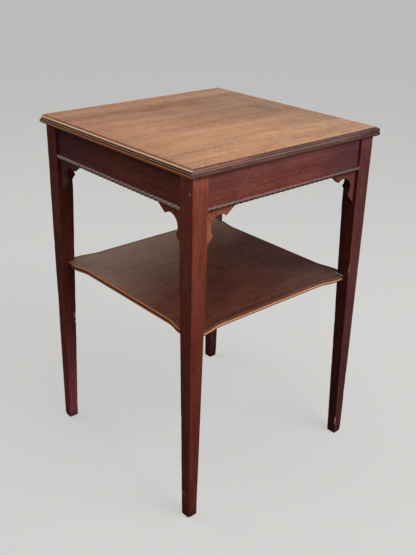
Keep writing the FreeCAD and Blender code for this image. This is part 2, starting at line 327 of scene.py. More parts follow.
class StageSettings(bpy.types.PropertyGroup):
    floor_seen: colour("Floor", "Floor and background as the camera sees them", (0.720, 0.715, 0.700))
    floor_bounce: colour("Floor bounce", "Floor as it lights the table", (0.140, 0.135, 0.130))
    floor_even: share("Even floor", "How little the lamps shade the floor that the camera sees", 0.6)
    ambient: share("Ambient", "Strength of the even light all round", 0.30)
    key_power: watts("Key lamp", "Large soft lamp on the right", 36.0)
    overhead_power: watts("Overhead lamp", "Large soft lamp above", 11.0)
    left_power: watts("Left lamp", "Soft lamp on the left, for the mouldings", 12.0)
    back_power: watts("Back lamp", "Soft lamp behind, for the far sides", 5.0)
    focal_length: real_number("Lens", "Focal length on a 36 mm frame", 49.57, unit="CAMERA")
    camera_place: bpy.props.FloatVectorProperty(
        name="Camera", description="Where the camera stands", default=(1.08227, -0.94625, 1.03281),
        size=3, subtype="TRANSLATION", unit="LENGTH",
    )
    camera_turn: angle("Camera turn", "Direction to the camera, from the front towards the right", 48.546)
    camera_height: angle("Camera height", "Angle of the view above level", 25.027)
    camera_roll: angle("Camera roll", "Tilt of the picture", 1.347)


class TableSettings(bpy.types.PropertyGroup):
    top: bpy.props.PointerProperty(type=TopSizes)
    leg: bpy.props.PointerProperty(type=LegSizes)
    shelf: bpy.props.PointerProperty(type=ShelfSizes)
    frame: bpy.props.PointerProperty(type=FrameSizes)
    screw: bpy.props.PointerProperty(type=ScrewSizes)
    finish: bpy.props.PointerProperty(type=Finishes)
    stage: bpy.props.PointerProperty(type=StageSettings)


def settings():
    return bpy.context.scene.occasional_table


# Node trees

class Wire:
    """A value on its way between nodes; a sum with it lays a Math node."""

    def __init__(self, bench, socket):
        self.bench = bench
        self.socket = socket

    def __add__(self, other):
        return self.bench.calc("ADD", self, other)

    def __sub__(self, other):
        return self.bench.calc("SUBTRACT", self, other)

    def __rsub__(self, other):
        return self.bench.calc("SUBTRACT", other, self)

    def __mul__(self, other):
        return self.bench.calc("MULTIPLY", self, other)

    def __truediv__(self, other):
        return self.bench.calc("DIVIDE", self, other)

    def __abs__(self):
        return self.bench.calc("ABSOLUTE", self)


class Bench:
    """Lays nodes in a tree, fills their sockets and joins them."""

    rows = 6
    spacing = Vector((240.0, -210.0))

    def __init__(self, tree):
        self.tree = tree
        self.laid = 0

    def add(self, kind, sockets=None, **options):
        """A new node with its options set and its sockets filled."""
        node = self.tree.nodes.new(kind)
        column, row = divmod(self.laid, self.rows)
        node.location = (self.spacing.x * column, self.spacing.y * row)
        self.laid += 1
        for name, value in options.items():
            setattr(node, name, value)
        for key, value in (sockets or {}).items():
            self.feed(node.inputs[key], value)
        return node

    def feed(self, socket, value):
        if isinstance(value, Wire):
            self.tree.links.new(value.socket, socket)
        else:
            socket.default_value = value

    def lay(self, kind, sockets=None, output=0, **options):
        """The wire from one output of a new node."""
        return Wire(self, self.add(kind, sockets, **options).outputs[output])

    def wires(self, node):
        return {socket.name: Wire(self, socket) for socket in node.outputs}

    def calc(self, operation, first, second=0.0, clamp=False):
        return self.lay("ShaderNodeMath", {0: first, 1: second}, operation=operation, use_clamp=clamp)

    def stretch(self, vector, scale):
        return self.lay("ShaderNodeVectorMath", {0: vector, 1: scale}, operation="MULTIPLY")

    def shift(self, vector, offset):
        return self.lay("ShaderNodeVectorMath", {0: vector, 1: offset}, operation="ADD")

    def clouds(self, vector, scale=1.0, detail=2.0, rough=0.5):
        sockets = {"Vector": vector, "Scale": scale, "Detail": detail, "Roughness": rough}
        return self.lay("ShaderNodeTexNoise", sockets, "Fac")

    def ramp(self, value, start, end, low=0.0, high=1.0):
        sockets = {"Value": value, "From Min": start, "From Max": end, "To Min": low, "To Max": high}
        return self.lay("ShaderNodeMapRange", sockets, "Result", interpolation_type="SMOOTHSTEP")

    def blend(self, amount, first, second, kind="MIX"):
        """Two colours mixed; the Mix node's sockets for colours are told apart by number alone."""
        sockets = {0: amount, 6: first, 7: second}
        return self.lay("ShaderNodeMix", sockets, 2, data_type="RGBA", blend_type=kind)

    def coat(self, body, amount, shade):
        """The body colour with a shade laid over it, as far as the amount says."""
        return self.blend(amount, body, opaque(shade))

    def tint(self, body, amount, shade):
        """The body colour multiplied by a shade, as far as the amount says."""
        return self.blend(amount, body, opaque(shade), "MULTIPLY")

    def attribute(self, name, output="Fac"):
        return self.lay("ShaderNodeAttribute", None, output, attribute_name=name)

    def place(self):
        return self.lay("ShaderNodeTexCoord", None, "Object")

    def split(self, vector):
        return [Wire(self, socket) for socket in self.add("ShaderNodeSeparateXYZ", {0: vector}).outputs]

    def join(self, x=0.0, y=0.0, z=0.0):
        return self.lay("ShaderNodeCombineXYZ", {0: x, 1: y, 2: z})

    def store(self, geometry, values):
        """The geometry with each value kept as an attribute of its points."""
        for name, value in values.items():
            sockets = {"Geometry": geometry, "Name": name, "Value": value}
            geometry = self.lay("GeometryNodeStoreNamedAttribute", sockets, data_type="FLOAT", domain="POINT")
        return geometry

    def moved(self, geometry, place):
        return self.lay("GeometryNodeTransform", {"Geometry": geometry, "Translation": place})

    def swept(self, curve, rings, section):
        """A closed tube with the section, along the curve and in the given number of rings."""
        spaced = self.lay("GeometryNodeResampleCurve", {"Curve": curve, "Count": rings})
        sockets = {"Curve": spaced, "Profile Curve": section, "Fill Caps": True}
        return self.lay("GeometryNodeCurveToMesh", sockets)

    def shaped(self, geometry, place):
        return self.lay("GeometryNodeSetPosition", {"Geometry": geometry, "Position": place})


def opaque(shade):
    return (shade[0], shade[1], shade[2], 1.0)


def add_sockets(tree, way, kinds):
    for name, kind in kinds.items():
        tree.interface.new_socket(name, in_out=way, socket_type="NodeSocket" + kind)


def geometry_tree(name, sizes, others=None):
    """Starts a Geometry Nodes tree with named inputs; gives the tree, its bench and the inputs."""
    tree = bpy.data.node_groups.new(name, "GeometryNodeTree")
    add_sockets(tree, "OUTPUT", {"Geometry": "Geometry"})
    add_sockets(tree, "INPUT", {"Points": "Geometry"})
    add_sockets(tree, "INPUT", {label: "Float" for label in sizes})
    add_sockets(tree, "INPUT", others or {})
    add_sockets(tree, "INPUT", {"Material": "Material"})
    bench = Bench(tree)
    return tree, bench, bench.wires(bench.add("NodeGroupInput"))


def end_tree(bench, geometry, given):
    """Closes a tree: instances made real, then the finish."""
    real = bench.lay("GeometryNodeRealizeInstances", {"Geometry": geometry})
    finished = bench.lay("GeometryNodeSetMaterial", {"Geometry": real, "Material": given["Material"]})
    bench.add("NodeGroupOutput", {0: finished})


def grown(node, tree, values, points=None):
    """Runs a tree with the given input values and gives its result as a plain mesh."""
    name = node + "_finished"
    carrier = bpy.data.objects.new(name + "_carrier", points or bpy.data.meshes.new(name + "_points"))
    bpy.context.scene.collection.objects.link(carrier)
    modifier = carrier.modifiers.new(name, "NODES")
    modifier.node_group = tree
    for socket in tree.interface.items_tree:
        if socket.in_out == "INPUT" and socket.name in values:
            modifier[socket.identifier] = values[socket.name]
    graph = bpy.context.evaluated_depsgraph_get()
    mesh = bpy.data.meshes.new_from_object(carrier.evaluated_get(graph))
    mesh.name = name
    bpy.data.objects.remove(carrier)
    if not mesh.polygons:
        raise RuntimeError("The tree gave no faces for " + name)
    return mesh


# Materials

def grain_group():
    """Mahogany in the board's own directions: along the grain, across it and through the board."""
    name = "Mahogany grain"
    if name in bpy.data.node_groups:
        return bpy.data.node_groups[name]
    tree = bpy.data.node_groups.new(name, "ShaderNodeTree")
    shades = {"Dark": "Color", "Mid": "Color", "Light": "Color"}
    add_sockets(tree, "INPUT", {"Board": "Vector", **shades, "Figure": "Float"})
    add_sockets(tree, "OUTPUT", {"Color": "Color", "Sheen": "Float", "Height": "Float"})
    bench = Bench(tree)
    given = bench.wires(bench.add("NodeGroupInput"))
    sway = {"Vector": bench.stretch(given["Board"], (2.2, 7.0, 7.0)), "Scale": 1.0}
    sway = bench.stretch(bench.lay("ShaderNodeTexNoise", sway, "Color"), (0.0, 0.030, 0.030))
    swayed = bench.shift(given["Board"], sway)

    def streaks(along, across, **options):
        return bench.clouds(bench.stretch(swayed, (along, across, across)), **options)

    figure = (streaks(1.7, 26.0) - 0.5) * given["Figure"]
    lines = (streaks(4.5, 135.0, detail=4.0, rough=0.7) - 0.5) * 0.58
    fine = streaks(16.0, 640.0)
    hair = (fine - 0.5) * 0.50
    flecks = (streaks(95.0, 420.0, rough=0.6) - 0.5) * 0.62
    pores = bench.ramp(streaks(75.0, 1700.0, detail=1.0), 0.60, 0.74)
    tone = (figure + lines) + (hair + flecks) + 0.5
    body = bench.blend(bench.ramp(tone, 0.28, 0.52), given["Dark"], given["Mid"])
    body = bench.blend(bench.ramp(tone, 0.48, 0.78), body, given["Light"])
    body = bench.blend(pores * 0.55, body, given["Dark"])
    bench.add("NodeGroupOutput", {"Color": body, "Sheen": tone, "Height": fine * 0.35 - pores})
    return tree


def new_material(name):
    material = bpy.data.materials.new(name)
    material.use_nodes = True
    material.node_tree.nodes.clear()
    return material, Bench(material.node_tree)


def surfaced(bench, body, rough, height, bump, constants, depth=PORE_DEPTH):
    """Shader of a solid surface: body colour, varying gloss and relief that catches the light."""
    relief = bench.lay("ShaderNodeBump", {"Height": height, "Strength": bump, "Distance": depth})
    sockets = {"Base Color": body, "Roughness": rough, "Normal": relief, **constants}
    shader = bench.lay("ShaderNodeBsdfPrincipled", sockets)
    bench.add("ShaderNodeOutputMaterial", {"Surface": shader})


def grain_of(bench, wood, figure):
    """Colour, sheen and height of the grain in the three shades of one of the woods."""
    sockets = {"Board": bench.attribute("board", "Vector"), "Figure": figure}
    for tone in ("dark", "mid", "light"):
        sockets[tone.title()] = opaque(getattr(settings().finish, wood + "_" + tone))
    return bench.wires(bench.add("ShaderNodeGroup", sockets, node_tree=grain_group()))


def aged_and_lit(bench, body, place):
    """Knocks, rubbed, bare and pale wood, grey film and grime, where the piece's own attributes put them; the
    wood, film and grime stand partly for painted light, highlights and shade.
    """
    finish = settings().finish
    ragged = bench.clouds(place, scale=140.0, detail=3.0, rough=0.65)
    rubbed = bench.ramp(bench.attribute("worn") + ragged * 0.9, 1.02, 1.45, 0.0, 0.85)
    body = bench.coat(body, rubbed, finish.worn)
    patchy = bench.ramp(ragged, 0.28, 0.58, 0.72, 1.0)
    for name in COATS:
        body = bench.coat(body, bench.attribute(name) * patchy, getattr(finish, name))
    return body, rubbed


def painted_light_and_shade(bench, body, place, left_tint):
    """Painted light and shade by place: warm near the front right corner, darker and more purple away from it
    and to the left, darker towards the floor but lighter low on the left, darker where the shade attribute
    says and lighter where lit; then cloudy tone of the wood itself.
    """
    x, y, z = bench.split(place)
    far = bench.ramp(y, -0.05, 0.19)
    front = 1.0 - far
    left = bench.ramp(x, 0.05, -0.19) * front
    near = front - left
    body = bench.tint(body, far, (0.54, 0.68, 1.0))
    body = bench.tint(body, left, left_tint)
    body = bench.tint(body, bench.ramp(z, 0.62, 0.33) * near, (0.73, 0.59, 0.58))
    body = bench.tint(body, bench.ramp(z, 0.35, 0.0) * left, (1.25, 1.12, 1.25))
    body = bench.tint(body, bench.ramp(z, 0.40, 0.0) * (1.0 - left), (0.72, 0.72, 0.80))
    body = bench.tint(body, bench.attribute("shade"), (0.82, 0.62, 0.55))

    # Under the overhang the front apron gets a painted shadow, and the rest painted light that lifts the
    # overhang's shadow
    front_apron = bench.ramp(y, -0.198, -0.204) * bench.ramp(abs(x), 0.190, 0.186)
    body = bench.tint(body, bench.ramp(z, 0.645, 0.668) * (1.0 - front_apron), (1.55, 1.58, 1.58))
    body = bench.tint(body, bench.ramp(z, 0.659, 0.665) * front_apron, (0.66, 0.62, 0.74))

    # The front half of the right apron is darker and bluer towards its top, and lighter in a band below
    right_apron = bench.ramp(x, 0.198, 0.204) * bench.ramp(y, -0.190, -0.186) * bench.ramp(y, 0.12, -0.06)
    body = bench.tint(body, bench.ramp(z, 0.635, 0.655) * right_apron, (0.78, 0.90, 1.0))
    lighter_band = bench.ramp(z, 0.621, 0.625) * bench.ramp(z, 0.655, 0.635) * right_apron
    body = bench.tint(body, lighter_band, (1.10, 1.18, 1.15))
    body = bench.tint(body, bench.attribute("lit"), (1.8, 2.1, 2.8))
    cloudy = bench.clouds(place, scale=9.0, detail=3.0, rough=0.6)
    return bench.tint(body, bench.ramp(cloudy, 0.42, 0.70, 0.0, 0.8), (0.78, 0.74, 0.80))


def gloss(bench, place, sheen, rubbed, middle):
    """Roughness about its middle value: duller where rubbed, cloudy where the polish has thinned."""
    haze = bench.clouds(place, scale=22.0, detail=4.0, rough=0.6)
    value = bench.ramp(haze, 0.25, 0.75, middle - 0.07, middle + 0.09) - (sheen - 0.5) * 0.10
    return bench.calc("ADD", value, rubbed * 0.14, clamp=True)


def oval_mark(bench, place, centre, reach, ragged):
    """1 in the middle of a soft-edged oval mark, 0 outside it."""
    near = bench.stretch(bench.shift(place, [-part for part in centre]), [1 / part for part in reach])
    far = bench.lay("ShaderNodeVectorMath", {0: near}, "Value", operation="LENGTH")
    return bench.ramp(far + ragged * 0.5, 1.45, 0.25)


def marked(bench, body, place, sheen, marks):
    """Stains and rubs laid on a surface, broken up along its grain."""
    ragged = bench.clouds(bench.stretch(place, (60.0, 25.0, 60.0)), detail=3.0, rough=0.6)
    streaky = bench.ramp(sheen, 0.35, 0.65, 1.15, 0.65)
    for centre, reach, strength, shade in marks:
        amount = oval_mark(bench, place, centre, reach, ragged) * strength * streaky
        body = bench.coat(body, amount, getattr(settings().finish, shade))
    return body


def frame_mahogany(name, wood, middle_gloss, specular=0.12, left_tint=(0.60, 0.72, 1.0), marks=()):
    """Dark polished mahogany of the legs, aprons, brackets and beads, with painted light and shade by place.
    """
    material, bench = new_material(name)
    place = bench.place()
    grain = grain_of(bench, wood, 0.40)
    body = painted_light_and_shade(bench, grain["Color"], place, left_tint)
    body = marked(bench, body, place, grain["Sheen"], marks)
    body, rubbed = aged_and_lit(bench, body, place)
    rough = gloss(bench, place, grain["Sheen"], rubbed, middle_gloss)
    surfaced(bench, body, rough, grain["Height"], 0.35, {"Specular IOR Level": specular})
    return material


def shelf_mahogany():
    """Dark shelf with painted shade towards the back and a painted reflection, a pale veil, towards its front
    left corner.
    """
    finish = settings().finish
    material, bench = new_material("shelf_mahogany")
    place = bench.place()
    x, y, z = bench.split(place)
    face = shelf_high.z
    grain = grain_of(bench, "shelf", 0.28)
    patches = bench.clouds(bench.stretch(place, (26.0, 11.0, 26.0)), detail=4.0, rough=0.65)
    body = bench.tint(grain["Color"], bench.ramp(patches, 0.40, 0.62), (0.72, 0.68, 0.68))
    # Painted shade towards the back, lifted by painted light at the back right
    back = bench.ramp(y, -0.08, 0.18)
    body = bench.tint(body, back, (0.51, 0.49, 0.55))
    body = bench.tint(body, bench.ramp(x, 0.08, 0.20) * back, (1.8, 2.2, 2.3))
    # A painted reflection: a pale veil towards the front left and a little at the back right, broken up along
    # the grain, on the upper face only
    corner = bench.ramp(x, 0.10, 0.20) * bench.ramp(y, 0.02, 0.16)
    reflection_amount = bench.ramp(x + y * 0.45, 0.04, -0.24, 0.015, 1.0) + corner * 0.14
    reflection_amount = reflection_amount * bench.ramp(grain["Sheen"], 0.3, 0.7, 0.75, 1.05)
    body = bench.coat(body, reflection_amount * bench.ramp(z, face - 0.004, face - 0.001), finish.reflection_veil)
    body, rubbed = aged_and_lit(bench, body, place)

    # A painted highlight: a pale bluish line on the upper face follows the legs
    leg_side = leg_high.x - leg_width_at(face)
    seam = bench.ramp(bench.calc("MINIMUM", abs(x), abs(y)), leg_side - 0.0040, leg_side - 0.0015)
    body = bench.coat(body, seam * bench.ramp(z, face - 0.0014, face - 0.0004), finish.seam)
    rough = gloss(bench, place, grain["Sheen"], rubbed, 0.44)
    surfaced(bench, body, rough, grain["Height"], 0.35, {"Specular IOR Level": 0.03})
    return material


def top_mahogany():
    """Faded top: bleached on the flat, warmer to the right, stained near the back and dark on the edge, where
    painted highlights and painted shadows lie along the moulding.
    """
    material, bench = new_material("faded_top_mahogany")
    place = bench.place()
    x, y, _ = bench.split(place)
    faded = grain_of(bench, "top", 0.55)
    edge = grain_of(bench, "edge", 0.5)
    ribbon = bench.clouds(bench.stretch(bench.attribute("board", "Vector"), (3.0, 70.0, 70.0)))
    flat = faded["Color"]
    for value, start, end, shade in (
        (x - y * 0.65, 0.13, -0.12, (0.61, 0.60, 0.60)),
        (x, -0.13, -0.20, (1.37, 1.41, 1.42)),
        (x, 0.08, 0.14, (1.05, 1.10, 1.11)),
        (y, -0.12, -0.21, (0.84, 0.81, 0.79)),
        (y, -0.213, -0.222, (0.86, 0.86, 0.92)),
        (y, 0.0, 0.15, (0.96, 1.04, 1.10)),
        (ribbon, 0.48, 0.62, (0.95, 0.97, 1.05)),
        (ribbon, 0.52, 0.38, (1.04, 1.02, 0.92)),
    ):
        flat = bench.tint(flat, bench.ramp(value, start, end), shade)
    flat = marked(bench, flat, place, faded["Sheen"], TOP_MARKS)
    bleach = bench.attribute("bleach")
    body, rubbed = aged_and_lit(bench, bench.blend(bleach, edge["Color"], flat), place)
    rough = gloss(bench, place, faded["Sheen"], rubbed, 0.40)
    rough = rough + bench.attribute("grime") * 0.55 + bleach * 0.12
    surfaced(bench, body, rough, faded["Height"], 0.3, {"Specular IOR Level": 0.14})
    return material


def pine():
    """Plain softwood of the glue blocks."""
    finish = settings().finish
    material, bench = new_material("block_pine")
    board = bench.attribute("board", "Vector")
    rings = bench.clouds(bench.stretch(board, (3.0, 210.0, 210.0)), detail=3.0)
    body = bench.blend(bench.ramp(rings, 0.42, 0.62), opaque(finish.pine), opaque(finish.pine_rings))
    soil_and_shade = bench.clouds(board, scale=45.0, detail=4.0)
    body = bench.coat(body, bench.ramp(soil_and_shade, 0.45, 0.85, 0.0, 0.5), finish.pine_soil)
    rough = bench.ramp(rings, 0.2, 0.8, 0.62, 0.78)
    surfaced(bench, body, rough, rings, 0.3, {"Specular IOR Level": 0.3})
    return material


def old_steel(name):
    """Dull steel of old screws and pins, with brown rust."""
    finish = settings().finish
    material, bench = new_material(name)
    spots = bench.clouds(bench.place(), scale=900.0, detail=4.0, rough=0.65)
    body = bench.blend(bench.ramp(spots, 0.48, 0.70), opaque(finish.steel), opaque(finish.rust))
    rough = bench.ramp(spots, 0.40, 0.72, 0.34, 0.72)
    surfaced(bench, body, rough, spots, 0.4, {"Metallic": 0.85}, PIT_DEPTH)
    return material


# Meshes

def add_value(mesh, name, values):
    layer = mesh.attributes.new(name, "FLOAT", "POINT")
    layer.data.foreach_set("value", values)


def add_wear_and_light(mesh, colourings):
    for name, values in zip(WEAR_AND_LIGHT, zip(*colourings)):
        add_value(mesh, name, values)


def add_board(mesh, along, across, number):
    """Writes each point's place in the board's own directions, moved apart from the other boards'."""
    through = along.cross(across)
    layer = mesh.attributes.new("board", "FLOAT_VECTOR", "POINT")
    for point, vertex in zip(layer.data, mesh.vertices):
        place = vertex.co
        own = Vector((place.dot(along), place.dot(across), place.dot(through)))
        point.vector = own + GRAIN_APART * number


def smooth(mesh):
    """Smooth shading on rounded faces; faces square to an axis stay flat."""
    mesh.shade_smooth()
    mesh.set_sharp_from_angle(angle=SMOOTH_ANGLE)
    for face in mesh.polygons:
        if max(abs(part) for part in face.normal) > SQUARE_TO_AXIS:
            face.use_smooth = False


def check_fit(mesh, node):
    """Stops the script if a finished mesh doesn't fill the box of the node that it stands for."""
    low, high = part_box(node)
    for axis in range(3):
        places = [vertex.co[axis] for vertex in mesh.vertices]
        if abs(min(places) - low[axis]) > FIT or abs(max(places) - high[axis]) > FIT:
            raise RuntimeError(mesh.name + " doesn't fill the box of " + node)


def mesh_from(name, points, faces):
    mesh = bpy.data.meshes.new(name)
    mesh.from_pydata(points, [], faces)
    mesh.validate()
    return mesh


def in_scene(name, data):
    thing = bpy.data.objects.new(name, data)
    bpy.context.scene.collection.objects.link(thing)
    return thing


def place_piece(node, mesh, material):
    """Puts a finished mesh in the scene in place of its CAD node."""
    check_fit(mesh, node)
    mesh.materials.clear()
    mesh.materials.append(material)
    smooth(mesh)
    piece = in_scene(node + "_finished", mesh)
    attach(piece, BODY)
    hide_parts(node)


def outward(mesh, weld=False):
    """Turns the faces outwards, once doubled points are merged where asked."""
    work = bmesh.new()
    work.from_mesh(mesh)
    if weld:
        bmesh.ops.remove_doubles(work, verts=work.verts, dist=WELD)
    bmesh.ops.recalc_face_normals(work, faces=work.faces)
    work.to_mesh(mesh)
    work.free()


def ring_faces(rings, count, closed=True):
    """Quads between rings of points that follow each other in one list."""
    steps = count if closed else count - 1
    faces = []
    for ring in range(rings - 1):
        for step in range(steps):
            here = ring * count + step
            there = ring * count + (step + 1) % count
            faces.append((here, there, there + count, here + count))
    return faces


def clamped(value):
    return max(0.0, min(1.0, value))


def quarter_turned(quarter):
    return Matrix.Rotation(quarter * QUARTER_TURN, 3, "Z")


def along_side(side):
    return RIGHT if side in ("front", "back") else BACK


def arc_points(start, middle, end, steps):
    """Points after start along the circle through three points of a plane, ending at end."""
    (ax, ay), (bx, by), (cx, cy) = start, middle, end
    scale = 2 * (ax * (by - cy) + bx * (cy - ay) + cx * (ay - by))
    squares = [x * x + y * y for x, y in (start, middle, end)]
    ox = (squares[0] * (by - cy) + squares[1] * (cy - ay) + squares[2] * (ay - by)) / scale
    oy = (squares[0] * (cx - bx) + squares[1] * (ax - cx) + squares[2] * (bx - ax)) / scale
    first = math.atan2(ay - oy, ax - ox)
    sweep = math.atan2(cy - oy, cx - ox) - first
    sweep = sweep % math.tau if scale > 0 else -((-sweep) % math.tau)
    radius = math.hypot(ax - ox, ay - oy)
    turns = [first + sweep * (step + 1) / steps for step in range(steps)]
    return [(ox + radius * math.cos(turn), oy + radius * math.sin(turn)) for turn in turns]


def chip(mesh, centre, reach, depth, towards):
    """Knocks a ragged hollow into a mesh and bares the wood in it."""
    ragged, ragged_size = 0.35, 420.0
    bared, most_bared = 2.2, 1.5
    wear = mesh.attributes["worn"].data
    coats = [mesh.attributes[name].data for name in COATS if name in mesh.attributes]
    for vertex in mesh.vertices:
        near = vertex.co - centre
        far = Vector((near.x / reach[0], near.y / reach[1], near.z / reach[2])).length
        far += ragged * noise.noise(vertex.co * ragged_size)
        if far < 1:
            vertex.co += towards * depth * (1 - far)
            wear[vertex.index].value = max(wear[vertex.index].value, min(most_bared, bared * (1 - far)))
            for coat in coats:
                coat[vertex.index].value *= max(0.0, far)


# Top

def edge_profile(top):
    """Rings of the top from the underside out, round the moulded edge and in to the flat.

    Each is (half size, height, member of the edge).
    """
    nosing_steps, ovolo_steps, arris_steps = 32, 14, 4
    groove_share = 0.6
    nose = top_high.x
    core = nose - top.nosing_radius
    groove = core + groove_share * top.quirk_depth
    lip = core + top.quirk_depth
    shoulder = lip - top.ovolo_width
    flat = shoulder - top.step_ledge
    underside, face = top_low.z, top_high.z
    nosing_top = underside + 2 * top.nosing_radius
    lip_height = nosing_top + top.quirk_height
    ledge_height = lip_height + top.ovolo_height
    rings = [(core - inset, underside, "underside") for inset in (0.020, 0.004, 0.0)]
    nosing_middle = (nose, underside + top.nosing_radius)
    for half, height in arc_points((core, underside), nosing_middle, (core, nosing_top), nosing_steps):
        climb = (height - underside) / (nosing_top - underside)
        member = "lower nosing" if climb < 0.70 else "nosing front" if climb < 0.93 else "nosing top"
        if climb < 0.5 or half > groove:
            rings.append((half, height, member))
    rings += [
        (groove, nosing_top, "quirk"),
        (groove, lip_height - 0.0003, "quirk"),
        (lip - 0.0004, lip_height, "quirk"),
        (lip, lip_height, "lip foot"),
    ]
    ovolo_middle = (shoulder + top.ovolo_width * BULGE, lip_height + top.ovolo_height * BULGE)
    for half, height in arc_points((lip, lip_height), ovolo_middle, (shoulder, ledge_height), ovolo_steps):
        climb = (height - lip_height) / top.ovolo_height
        rings.append((half, height, "lip foot" if climb < 0.26 else "lip" if climb < 0.78 else "ovolo"))
    worn_from = (flat, face - top.step_round)
    worn_in = top.step_round * (1 - BULGE)
    worn_middle = (flat - worn_in, face - worn_in)
    arris = arc_points(worn_from, worn_middle, (flat - top.step_round, face), arris_steps)
    rings += [(flat + 0.0001, ledge_height, "step"), (flat, ledge_height + 0.0002, "step")]
    rings += [(half, height, "arris") for half, height in [worn_from] + arris]
    rings += [(flat - 0.0015, face, "rim"), (flat - 0.003, face, "flat"), (flat - 0.010, face, "flat")]
    return rings


def edge_wear_and_light(member, place):
    """How a member of the top's edge is coloured at a place along it, by wear and dirt and by painted light
    and shade, in the order of the attribute names.
    """
    end_grain, side_grain = EDGE_WEAR_AND_LIGHT[member]
    if abs(place.y) >= abs(place.x):
        return end_grain
    worn, bare, film, grime, bleach, pale = side_grain
    # On the right, towards the back, the painted highlight fades and painted shade darkens the edge
    if place.x > 0 and member not in ("flat", "underside"):
        at_back = clamped((place.y - 0.13) / 0.08)
        film *= 1 - at_back
        grime += 0.4 * at_back
    if place.x > 0 and member == "lip":
        bare = 0.22 * clamped((-0.085 - place.y) / 0.045)
    return worn, bare, film, grime, bleach, pale


def rounded_square(half, corner, per_side, per_corner):
    """Points round a square with rounded corners, the same number whatever its size."""
    points = []
    straight = half - corner
    for quarter in range(4):
        turn = Matrix.Rotation(quarter * QUARTER_TURN, 2)
        for step in range(per_side + 1):
            points.append(turn @ Vector((-straight + 2 * straight * step / per_side, -half)))
        for step in range(1, per_corner):
            swing = QUARTER_TURN * step / per_corner
            offset = Vector((math.sin(swing), -math.cos(swing))) * corner
            points.append(turn @ (Vector((straight, -straight)) + offset))
    return points


def top_mesh(top):
    """Square top with its moulded edge, knocks along the edge and filler at one corner."""
    per_side, per_corner = 210, 5
    dent_size, dent_start = 70.0, 0.36
    corner_reach = 0.010
    fill_reach = 0.012
    points, colourings = [], []
    profile = edge_profile(top)
    for half, height, member in profile:
        corner = top.corner_round * clamped((half - profile[-1][0]) / corner_reach)
        for flat in rounded_square(half, corner, per_side, per_corner):
            place = Vector((flat.x, flat.y, height))
            colouring = edge_wear_and_light(member, place)
            knock = max(0.0, noise.noise(place * dent_size) - dent_start) * top.dent_depth * colouring[0]
            inward = Vector((-flat.x, -flat.y, 0.0)).normalized()
            from_corner = (flat - Vector((half, half))).length
            filled = CORNER_FILL.get(member, 0.0) * max(0.0, 1 - from_corner / fill_reach) ** 2
            points.append(place + inward * (knock - filled))
            colourings.append(colouring)
    count = len(points) // len(profile)
    faces = ring_faces(len(profile), count)
    faces.append(tuple(reversed(range(count))))
    faces.append(tuple(range(len(points) - count, len(points))))
    mesh = mesh_from("table_top_finished", points, faces)
    add_wear_and_light(mesh, colourings)
    for centre, reach, depth, towards in TOP_CHIPS:
        chip(mesh, Vector(centre), reach, depth, Vector(towards).normalized())
    outward(mesh, weld=True)
    return mesh


# Legs

def leg_taper_top():
    return bracket_low.z - settings().leg.square_below_bracket


def leg_width_at(height):
    """Width of the leg at a height of the tapered part."""
    foot = settings().leg.foot_width
    return foot + (leg_width - foot) * min(1.0, height / leg_taper_top())


def leg_tree():
    """Tapered square leg: upright outer faces, tapered inner ones, rubbed corners and a worn foot."""
    sizes = ("Height", "Width", "Foot Width", "Taper Top", "Foot Round", "Foot Corner", "Arris", "Wear",
             "Inner Shade", "Inner Light", "Seed")
    side_cuts, arris_points, foot_crowding = 7, 5, 1.5
    others = {"Rings": "Int", "Corner": "Vector", "Facing": "Vector"}
    tree, bench, given = geometry_tree("Tapered leg", sizes, others)
    line = bench.lay("GeometryNodeCurvePrimitiveLine", {"End": (0.0, 0.0, 1.0)})
    square = bench.lay("GeometryNodeCurvePrimitiveQuadrilateral", {"Width": 1.0, "Height": 1.0})
    square = bench.lay("GeometryNodeSubdivideCurve", {"Curve": square, "Cuts": side_cuts})
    arris = given["Arris"] / given["Width"]
    sockets = {"Curve": square, "Count": arris_points, "Radius": arris, "Limit Radius": True}
    section = bench.lay("GeometryNodeFilletCurve", sockets, mode="POLY")
    geometry = bench.swept(line, given["Rings"], section)

    # The unit post is closer ringed towards the foot
    x, y, z = bench.split(bench.lay("GeometryNodeInputPosition"))
    height = bench.calc("POWER", z, foot_crowding) * given["Height"]
    taper = bench.calc("MINIMUM", height / given["Taper Top"], 1.0)
    width = given["Foot Width"] + (given["Width"] - given["Foot Width"]) * taper
    low = bench.calc("SUBTRACT", 1.0, height / given["Foot Round"], clamp=True)
    tuck = (1.0 - bench.calc("SQRT", 1.0 - low * low)) * given["Foot Round"]

    # Rubbing follows the corners and comes and goes up the leg
    corner = bench.ramp(bench.calc("MINIMUM", abs(x), abs(y)), 0.38, 0.49)
    patch = bench.join(x * 3.0 + given["Seed"], y * 3.0, height * 24.0)
    rub = bench.ramp(bench.clouds(patch, detail=3.0, rough=0.6), 0.45, 0.75)
    # Kept for the finish: rubbing on the corners, darker wood at the foot, painted shade on the inner face
    # that looks to the front or back, and painted light low on the one that looks to the side
    geometry = bench.store(geometry, {
        "worn": corner * bench.ramp(rub, 0.0, 1.0, 0.30, 0.80),
        "grime": bench.ramp(height, 0.020, 0.0) * 0.6,
        "shade": bench.ramp(y, -0.47, -0.49) * given["Inner Shade"],
        "lit": bench.ramp(x, -0.47, -0.49) * given["Inner Light"] * bench.ramp(height, 0.38, 0.14),
    })

    # Rubbed corners and the blunted outer corner of the foot are drawn in
    stub = bench.ramp(height, 0.006, 0.0) * given["Foot Corner"]
    blunt = bench.ramp(bench.calc("MINIMUM", x, y), 0.25, 0.5) * stub
    inner = width - (tuck + corner * rub * given["Wear"] + blunt) * 2.0
    half = width * -0.5
    place = bench.stretch(bench.join(x * inner + half, y * inner + half, height), given["Facing"])
    end_tree(bench, bench.shaped(geometry, bench.shift(place, given["Corner"])), given)
    return tree


# Beads

